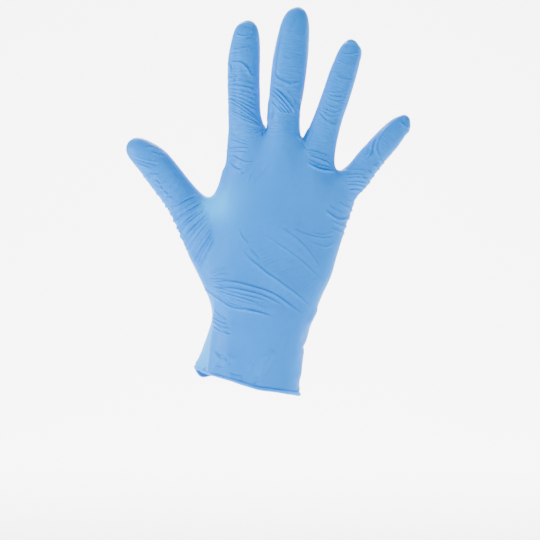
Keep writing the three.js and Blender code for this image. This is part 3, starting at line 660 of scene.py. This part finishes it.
def hangRim(obj, steps):
    selectOnly(obj)
    down = Vector(film["wristAxis"]) * film["rimHang"] / steps
    for _ in range(steps):
        bpy.ops.object.mode_set(mode="EDIT")
        bpy.ops.mesh.select_mode(type="EDGE")
        bpy.ops.mesh.select_all(action="DESELECT")
        selectBoundary()
        bpy.ops.mesh.extrude_region_move(TRANSFORM_OT_translate={"value": tuple(down)})
        bpy.ops.object.mode_set(mode="OBJECT")


hangRim(fineSkin, 4)
hangRim(coarseSkin, 2)

rimLine = {   # middle of the rolled edge in the picture; the far side dips below it at the left corner
    "points": [(193.6, 366.2), (201.6, 370.9), (215.9, 374.8), (232.2, 379), (244.6, 383.2), (258, 387.4),
               (275.3, 389.6), (290.6, 392), (299.4, 394)],
    "reach": 0.018,                # metres of film above the edge that follow it
    "samples": 40, "within": 0.97,
    "farDip": 0.0042, "dipFull": 0.0035, "dipEnd": -0.0200, "dipFade": 0.008, "dipTurn": 3.0,
}


def rimHeight(x):
    line = [fromPicture(*point) for point in rimLine["points"]]
    x = min(max(x, line[0][0]), line[-1][0])
    for (xa, za), (xb, zb) in zip(line, line[1:]):
        if x <= xb:
            return za + (zb - za) * (x - xa) / (xb - xa)
    return line[-1][1]


# Moves the film near the cuff's edge up or down so that the edge follows the picture's line.
def shapeRim(mesh, loop):
    middle = sum(loop, Vector()) / len(loop)
    axis = Vector(film["wristAxis"])
    slope = Vector((axis.z, 0, -axis.x))
    reach = max(abs((point - middle).dot(slope)) for point in loop)
    samples, half = rimLine["samples"], reach * rimLine["within"]
    now = {}
    for side in (-1, 1):
        now[side] = []
        for k in range(samples + 1):
            x = middle.x - half + half * 2 * k / samples
            sideLoop = [point for point in loop if (point.y - middle.y) * side > 0]
            near = sorted((abs(point.x - x), point.z) for point in sideLoop)[:2]
            now[side].append(sum(z for _, z in near) / len(near))
    places, normals = pointsAndNormals(mesh)
    for i, co in enumerate(places):
        over = (co - middle).dot(-axis)
        if over > rimLine["reach"]:
            continue
        side = -1 if co.y < middle.y else 1
        k = min(samples - 0.001, max(0.0, (co.x - middle.x + half) / (half * 2) * samples))
        low = int(k)
        current = now[side][low] + (now[side][low + 1] - now[side][low]) * (k - low)
        dip = 0.0
        if side > 0:
            dip = rimLine["farDip"] * min(1.0, max(0.0, (co.x - middle.x + reach) / rimLine["dipFull"]))
            dip *= min(1.0, max(0.0, (rimLine["dipEnd"] - co.x) / rimLine["dipFade"]))
            dip *= min(1.0, max(0.0, normals[i].y * rimLine["dipTurn"]))
        share = 1 - max(0.0, over) / rimLine["reach"]
        smooth = share * share * (3 - 2 * share)
        places[i] = co + Vector((0, 0, rimHeight(co.x) - current - dip)) * smooth
    movePoints(mesh, places)


fineRim, coarseRim = boundaryLoop(fineSkin.data), boundaryLoop(coarseSkin.data)
shapeRim(fineSkin.data, fineRim)
shapeRim(coarseSkin.data, coarseRim)
rim = boundaryLoop(fineSkin.data)
rimCentre = sum(rim, Vector()) / len(rim)


# Sets the inner skin inward by the film's thickness, which falls off near the edge.
def insetInnerSkin(mesh):
    places, normals = pointsAndNormals(mesh)
    for i, co in enumerate(places):
        over = abs((co - rimCentre).dot(Vector(film["wristAxis"])))
        near = min(1.0, over / film["thinBelow"])
        depth = film["edgeThickness"] + (film["thickness"] - film["edgeThickness"]) * near
        places[i] = co - normals[i] * depth
    movePoints(mesh, places)
    mesh.flip_normals()


insetInnerSkin(coarseSkin.data)
triangles = sum(len(face.vertices) - 2 for face in fineSkin.data.polygons)
applyModifier(fineSkin, "DECIMATE", ratio=film["triangles"] / triangles)
bpy.ops.object.select_all(action="DESELECT")
coarseSkin.select_set(True)
fineSkin.select_set(True)
bpy.context.view_layer.objects.active = fineSkin
bpy.ops.object.join()
bpy.ops.object.mode_set(mode="EDIT")
bpy.ops.mesh.select_mode(type="EDGE")
bpy.ops.mesh.select_all(action="DESELECT")
selectBoundary()
bpy.ops.mesh.bridge_edge_loops()
bpy.ops.object.mode_set(mode="OBJECT")
glove = fineSkin
glove.data.shade_smooth()
print("stage: film closed,", sum(len(p.vertices) - 2 for p in glove.data.polygons), "triangles")

# rolled edge of the cuff
roll = {
    "radius": 0.0012, "flat": 0.9, "inset": 0.0001,
    "uneven": 0.0002, "unevenScale": 110, "drift": 0.0003, "driftScale": 70,
    "thicker": 0.25, "thickerReach": 0.03,     # two or three turns of film, more of them at the right
    "around": 12, "spacing": 0.0009, "smoothing": 6,
}


def evenLoop(points, spacing):
    closed = points + [points[0]]
    lengths = [0.0]
    for a, b in zip(closed, closed[1:]):
        lengths.append(lengths[-1] + (b - a).length)
    count = int(lengths[-1] / spacing)
    even, k = [], 0
    for i in range(count):
        want = lengths[-1] * i / count
        while lengths[k + 1] < want:
            k += 1
        t = (want - lengths[k]) / (lengths[k + 1] - lengths[k])
        even.append(closed[k].lerp(closed[k + 1], t))
    return even


def rollEdge(name):
    loop = evenLoop(rim, roll["spacing"])
    for _ in range(roll["smoothing"]):
        loop = [(loop[i - 1] + loop[i] * 2 + loop[(i + 1) % len(loop)]) / 4 for i in range(len(loop))]
    shape = bmesh.new()
    rings = []
    axis = Vector(film["wristAxis"])
    for i, centre in enumerate(loop):
        along = (loop[(i + 1) % len(loop)] - loop[i - 1]).normalized()
        out = along.cross(axis).normalized()
        if out.dot(centre - rimCentre) < 0:
            out = -out
        thick = roll["radius"] + roll["uneven"] * noise.noise(centre * roll["unevenScale"])
        thick *= 1.0 + roll["thicker"] * min(1.0, max(-1.0, centre.x / roll["thickerReach"]))
        drift = roll["drift"] * noise.noise(centre * roll["driftScale"] + Vector((9, 2, 4)))
        centre = centre + out * (drift - roll["inset"])
        ring = []
        for k in range(roll["around"]):
            angle = 2 * math.pi * k / roll["around"]
            spoke = out * math.cos(angle) + axis * math.sin(angle) * roll["flat"]
            ring.append(shape.verts.new(centre + spoke * thick))
        rings.append(ring)
    for i, ring in enumerate(rings):
        after = rings[(i + 1) % len(rings)]
        for k in range(roll["around"]):
            m = (k + 1) % roll["around"]
            shape.faces.new((ring[k], ring[m], after[m], after[k]))
    bmesh.ops.recalc_face_normals(shape, faces=shape.faces)
    mesh = bpy.data.meshes.new(name)
    shape.to_mesh(mesh)
    shape.free()
    mesh.shade_smooth()
    obj = bpy.data.objects.new(name, mesh)
    bpy.context.collection.objects.link(obj)
    return obj


cuffRoll = rollEdge("cuffRoll")
print("stage: rolled edge made")

# Nitrile rubber, dipped on a form and chlorinated: an even pigmented blue, a soft dull sheen and no grain,
# stronger where it is slack or rolled, with painted light making it paler where thin film is lit through
# from behind.
nitrile = {
    "stretched": "#0086E4", "slack": "#007ADA", "litThrough": "#06AAFF",
    "rollBright": "#0092FF", "rollDeep": "#0088F8",
    "roughness": 0.46, "roughnessSwing": 0.05, "ior": 1.52, "gloss": 0.12,
    "patchMm": 26.0,                                        # slow change of shade over the film
    "gatherMm": 1.5, "gatherLongMm": 9.0, "gatherTilt": 0.12, "gatherHeight": 0.0008,
    "puckerMm": 2.6, "puckerHeight": 0.00006,
    "skinMm": 0.7, "skinHeight": 0.000012,
}


def nitrileFilm(name, stretched, slack):
    material = bpy.data.materials.new(name)
    material.use_nodes = True
    tree = material.node_tree
    tree.nodes.clear()
    place = addNode(tree, "ShaderNodeTexCoord").outputs["Object"]
    patches = addNode(tree, "ShaderNodeTexNoise", {
        "Scale": 1000 / nitrile["patchMm"], "Detail": 3.0, "Roughness": 0.5}, {
        "Vector": place}).outputs["Fac"]
    tone = addNode(tree, "ShaderNodeMix", {
        "data_type": "RGBA", 6: linearColour(slack), 7: linearColour(stretched)}, {"Factor": patches})
    # painted light: a paler cyan is mixed in where the film is marked as lit through from behind, over the
    # thumb's web and the flare behind the cuff
    paintedGlow = addNode(tree, "ShaderNodeAttribute", {"attribute_name": "paintedGlow"}).outputs["Fac"]
    colour = addNode(tree, "ShaderNodeMix", {
        "data_type": "RGBA", 7: linearColour(nitrile["litThrough"])}, {"Factor": paintedGlow, 6: tone.outputs[2]})
    dull = addNode(tree, "ShaderNodeMapRange", {
        "From Min": 0.3, "From Max": 0.7,
        "To Min": nitrile["roughness"] - nitrile["roughnessSwing"],
        "To Max": nitrile["roughness"] + nitrile["roughnessSwing"]}, {"Value": patches})
    across = addNode(tree, "ShaderNodeAttribute", {"attribute_name": "gatherPlace"}).outputs["Vector"]
    amount = addNode(tree, "ShaderNodeAttribute", {"attribute_name": "gather"}).outputs["Fac"]
    pulled = addNode(tree, "ShaderNodeMapping", {
        "Scale": (1 / nitrile["gatherLongMm"], 1 / nitrile["gatherMm"], 1.0),
        "Rotation": (0.0, 0.0, nitrile["gatherTilt"])}, {"Vector": across}).outputs["Vector"]
    gather = addNode(tree, "ShaderNodeTexNoise", {
        "Scale": 1.0, "Detail": 2.0, "Distortion": 0.4}, {"Vector": pulled})
    gathered = addNode(tree, "ShaderNodeMath", {"operation": "MULTIPLY"}, {
        0: gather.outputs["Fac"], 1: amount})
    normal = addNode(tree, "ShaderNodeBump", {"Distance": nitrile["gatherHeight"], "Strength": 1.0}, {
        "Height": gathered.outputs["Value"]}).outputs["Normal"]
    for layer in ("pucker", "skin"):
        grain = addNode(tree, "ShaderNodeTexNoise", {
            "Scale": 1000 / nitrile[layer + "Mm"], "Detail": 2.0}, {"Vector": place})
        normal = addNode(tree, "ShaderNodeBump", {"Distance": nitrile[layer + "Height"], "Strength": 1.0}, {
            "Height": grain.outputs["Fac"], "Normal": normal}).outputs["Normal"]
    shader = addNode(tree, "ShaderNodeBsdfPrincipled", {
        "IOR": nitrile["ior"], "Specular IOR Level": nitrile["gloss"]}, {
        "Base Color": colour.outputs[2], "Roughness": dull.outputs["Result"], "Normal": normal})
    addNode(tree, "ShaderNodeOutputMaterial", None, {"Surface": shader.outputs["BSDF"]})
    return material


# Stretched nitrile film: dipped and dried on a former, so smooth and evenly dull.
filmBlue = nitrileFilm("dippedNitrileFilm", nitrile["stretched"], nitrile["slack"])
# Rolled nitrile edge: the same film in turns, thicker, so the blue is stronger.
rollBlue = nitrileFilm("rolledNitrileEdge", nitrile["rollBright"], nitrile["rollDeep"])
glove.data.materials.append(filmBlue)
cuffRoll.data.materials.append(rollBlue)
for piece in (glove, cuffRoll):
    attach(piece, "root")
    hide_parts("glove")

# stage, light and camera
stage = {   # metres; a floor of paper that bends up into a wall well behind the glove
    "floor": -0.17, "back": 2.7, "front": 3.0, "side": 3.4, "top": 2.8, "bend": 0.7, "bendSteps": 12,
    "colour": "#FBFBFB", "roughness": 0.9,
}


def sweep():
    profile = [(-stage["front"], stage["floor"])]
    for k in range(stage["bendSteps"] + 1):
        angle = math.pi / 2 * k / stage["bendSteps"]
        profile.append((stage["back"] - stage["bend"] + stage["bend"] * math.sin(angle),
                        stage["floor"] + stage["bend"] * (1 - math.cos(angle))))
    profile.append((stage["back"], stage["top"]))
    mesh = bpy.data.meshes.new("paperSweep")
    verts = [(x, y, z) for y, z in profile for x in (-stage["side"], stage["side"])]
    faces = [(2 * i, 2 * i + 1, 2 * i + 3, 2 * i + 2) for i in range(len(profile) - 1)]
    mesh.from_pydata(verts, [], faces)
    mesh.shade_smooth()
    obj = bpy.data.objects.new("paperSweep", mesh)
    bpy.context.collection.objects.link(obj)
    # Matt background paper: uncoated white roll paper, so bright and without a sheen.
    paper = bpy.data.materials.new("mattBackgroundPaper")
    paper.use_nodes = True
    shader = paper.node_tree.nodes["Principled BSDF"]
    shader.inputs["Base Color"].default_value = linearColour(stage["colour"])
    shader.inputs["Roughness"].default_value = stage["roughness"]
    mesh.materials.append(paper)


sweep()
glovePoint, paperPoint = (0.01, 0.0, 0.12), (0.01, 2.5, 0.1)
lamps = [
    {"name": "keyLight", "place": (-1.5, -0.55, 0.40), "watts": 38.0, "size": 0.45, "aim": glovePoint},
    {"name": "fillLight", "place": (1.1, -1.9, 0.5), "watts": 20.0, "size": 1.0, "aim": glovePoint},
    {"name": "topLight", "place": (0.1, -0.1, 1.6), "watts": 4.0, "size": 0.8, "aim": glovePoint},
    {"name": "rimLight", "place": (1.5, 0.7, 0.45), "watts": 18.0, "size": 0.6, "aim": glovePoint},
    {"name": "paperLight", "place": (0.0, 1.7, 2.0), "watts": 360.0, "size": 2.0, "aim": paperPoint},
]
for item in lamps:
    data = bpy.data.lights.new(item["name"], "AREA")
    data.energy = item["watts"]
    data.size = item["size"]
    lamp = bpy.data.objects.new(item["name"], data)
    lamp.location = item["place"]
    toAim = Vector(item["aim"]) - Vector(item["place"])
    lamp.rotation_euler = toAim.to_track_quat("-Z", "Y").to_euler()
    bpy.context.collection.objects.link(lamp)
room = {"colour": "#FFFFFF", "strength": 0.4}   # even light from all round
world = bpy.data.worlds.new("softRoom")
world.use_nodes = True
world.node_tree.nodes["Background"].inputs["Color"].default_value = linearColour(room["colour"])
world.node_tree.nodes["Background"].inputs["Strength"].default_value = room["strength"]
bpy.context.scene.world = world

centreX, centreZ = fromPicture(view["pixels"] / 2, view["pixels"] / 2)
cameraData = bpy.data.cameras.new("photoCamera")
cameraData.sensor_width = view["sensor"]
cameraData.lens = view["sensor"] * view["distance"] / (view["pixels"] * view["metresPerPixel"])
cameraData.dof.use_dof = False
camera = bpy.data.objects.new("photoCamera", cameraData)
camera.location = (centreX, -view["distance"], centreZ)
camera.rotation_euler = (math.pi / 2, 0, 0)
bpy.context.collection.objects.link(camera)
bpy.context.scene.camera = camera
print("stage: stage, lights and camera set")
